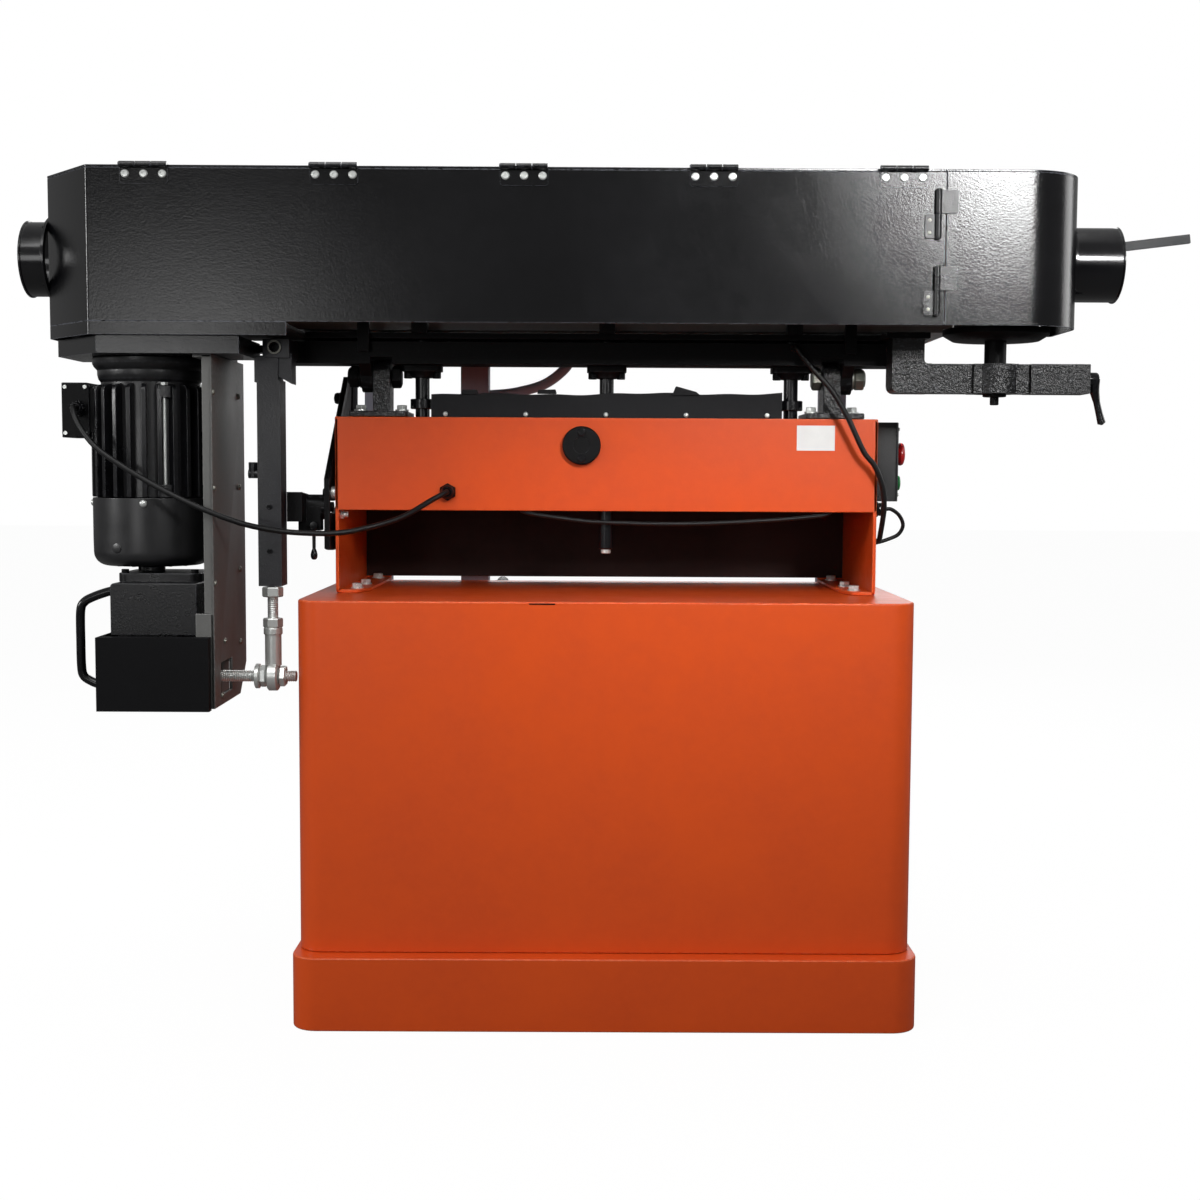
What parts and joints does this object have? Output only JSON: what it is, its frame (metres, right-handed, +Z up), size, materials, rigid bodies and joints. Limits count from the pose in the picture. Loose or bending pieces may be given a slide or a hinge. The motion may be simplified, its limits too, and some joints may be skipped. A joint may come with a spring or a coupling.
{
  "type": "oscillating edge sander",
  "caption": "Floor-standing oscillating belt edge sander with tilting motor head, lift table, hinged lid and end door, tension lever and cabinet base.",
  "frame": {"origin": "middle of the plinth's underside, on the floor", "axes": "+X right as seen from the rear, +Y towards the operator's side, +Z up"},
  "size_m": [1.6089, 0.6474, 1.1445],
  "materials": {
    "orange_paint": "satin",
    "black_coat": "textured matte",
    "gloss_black": "gloss",
    "zinc_steel": "zinc plated",
    "ground_steel": "ground",
    "cast_iron": "black painted casting",
    "machined_iron": "machined",
    "rubber": "matte",
    "abrasive": "abrasive cloth",
    "red_plastic": "gloss",
    "green_plastic": "gloss",
    "grey_paint": "satin"
  },
  "bodies": {
    "base": {"plinth": "orange_paint", "cabinet": "orange_paint", "upper_frame": "orange_paint", "round_cap": "gloss_black", "rear_gland": "gloss_black", "side_gland": "gloss_black", "switch_box": "black_coat", "pivot_bracket_left": "cast_iron", "pivot_bracket_right": "cast_iron", "quadrant_plate": "black_coat", "dust_flap": "rubber", "lift_frame": "cast_iron", "head_cable": "rubber", "switch_cable": "rubber", "inner_cable": "rubber"},
    "stop": {"stop_button": "red_plastic"},
    "start": {"start_button": "green_plastic"},
    "wheel": {"handwheel": "black_coat"},
    "table": {"work_table": "machined_iron", "guide_column_left": "grey_paint", "guide_column_right": "grey_paint", "lift_column": "grey_paint", "table_brace": "grey_paint"},
    "cradle": {"cradle_beam": "black_coat", "pivot_bolt_left": "zinc_steel", "pivot_bolt_right": "zinc_steel", "guide_bushing_left": "cast_iron", "guide_bushing_middle": "cast_iron", "guide_bushing_right": "cast_iron", "link_post": "black_coat", "tilt_arm": "black_coat", "rod_end": "zinc_steel", "crank_stud": "zinc_steel"},
    "tilt_handle": {"tilt_lever": "gloss_black"},
    "head": {"head_plate": "black_coat", "guide_post_left": "black_coat", "guide_post_middle": "black_coat", "guide_post_right": "black_coat", "rear_cover": "black_coat", "drive_tray": "black_coat", "dust_port_left": "gloss_black", "platen": "cast_iron", "sanding_belt": "abrasive", "idler_arm": "cast_iron", "motor_body": "gloss_black", "fan_cowl": "gloss_black", "junction_box": "black_coat", "spine_column": "black_coat", "gearbox_housing": "cast_iron", "gearbox_cover": "black_coat", "pull_handle": "black_coat", "motor_cable": "rubber"},
    "drive": {"drive_drum": "cast_iron"},
    "crank": {"crank_disc": "zinc_steel"},
    "carriage": {"idler_carriage": "cast_iron"},
    "idler": {"idler_drum": "ground_steel"},
    "tension": {"tension_lever": "grey_paint"},
    "clamp": {"arm_clamp_lever": "gloss_black"},
    "lid": {"top_lid": "black_coat"},
    "door": {"end_door": "black_coat"}
  },
  "joints": [
    {"name": "table_lift", "type": "slide", "parent": "base", "child": "table", "axis": [0, 0, 1], "range_m": [0, 0.11]},
    {"name": "handwheel_turn", "type": "hinge", "parent": "base", "child": "wheel", "pos_m": [-0.171, 0.2549, 0.485], "axis": [0, 1, 0], "range_deg": [0, 351]},
    {"name": "stop_press", "type": "slide", "parent": "base", "child": "stop", "axis": [-1, 0, 0], "range_m": [0, 0.003], "stiffness_N_per_m": 800},
    {"name": "start_press", "type": "slide", "parent": "base", "child": "start", "axis": [-1, 0, 0], "range_m": [0, 0.003], "stiffness_N_per_m": 800},
    {"name": "head_tilt", "type": "hinge", "parent": "base", "child": "cradle", "pos_m": [0, -0.052, 0.883], "axis": [1, 0, 0], "range_deg": [0, 90], "deforming": ["dust_flap", "motor_cable", "head_cable"]},
    {"name": "tilt_lever_turn", "type": "hinge", "parent": "cradle", "child": "tilt_handle", "pos_m": [-0.4105, -0.0865, 0.6732], "axis": [0, 1, 0], "range_deg": [0, 80]},
    {"name": "head_oscillation", "type": "slide", "parent": "cradle", "child": "head", "axis": [0, 0, 1], "range_m": [-0.003, 0.003], "deforming": ["motor_cable"]},
    {"name": "drive_spin", "type": "hinge", "parent": "head", "child": "drive", "pos_m": [-0.626, -0.132, 0.964], "axis": [0, 0, 1], "continuous": true},
    {"name": "crank_spin", "type": "hinge", "parent": "head", "child": "crank", "pos_m": [-0.56, -0.16575, 0.469], "axis": [1, 0, 0], "continuous": true},
    {"name": "idler_slide", "type": "slide", "parent": "head", "child": "carriage", "axis": [-1, 0, 0], "range_m": [0, 0.012]},
    {"name": "idler_spin", "type": "hinge", "parent": "carriage", "child": "idler", "pos_m": [0.534, -0.1255, 0.964], "axis": [0, 0, 1], "continuous": true},
    {"name": "tension_turn", "type": "hinge", "parent": "carriage", "child": "tension", "pos_m": [0.534, -0.1255, 1.12], "axis": [0, 0, 1], "range_deg": [0, 60]},
    {"name": "clamp_turn", "type": "hinge", "parent": "head", "child": "clamp", "pos_m": [0.6593, -0.1345, 0.88], "axis": [1, 0, 0], "range_deg": [0, 120]},
    {"name": "lid_turn", "type": "hinge", "parent": "head", "child": "lid", "pos_m": [0, -0.2613, 1.141], "axis": [1, 0, 0], "range_deg": [0, 100]},
    {"name": "door_turn", "type": "hinge", "parent": "head", "child": "door", "pos_m": [0.425, -0.2613, 1.04], "axis": [0, 0, -1], "range_deg": [0, 90]}
  ],
  "couplings": [
    {"joint": "handwheel_turn", "follows": "table_lift", "rad_per_m": 55.556},
    {"joint": "crank_spin", "follows": "drive_spin", "ratio": 0.041667},
    {"joint": "idler_spin", "follows": "drive_spin", "ratio": 1.1024},
    {"joint": "idler_slide", "follows": "tension_turn", "m_per_rad": 0.011459}
  ]
}
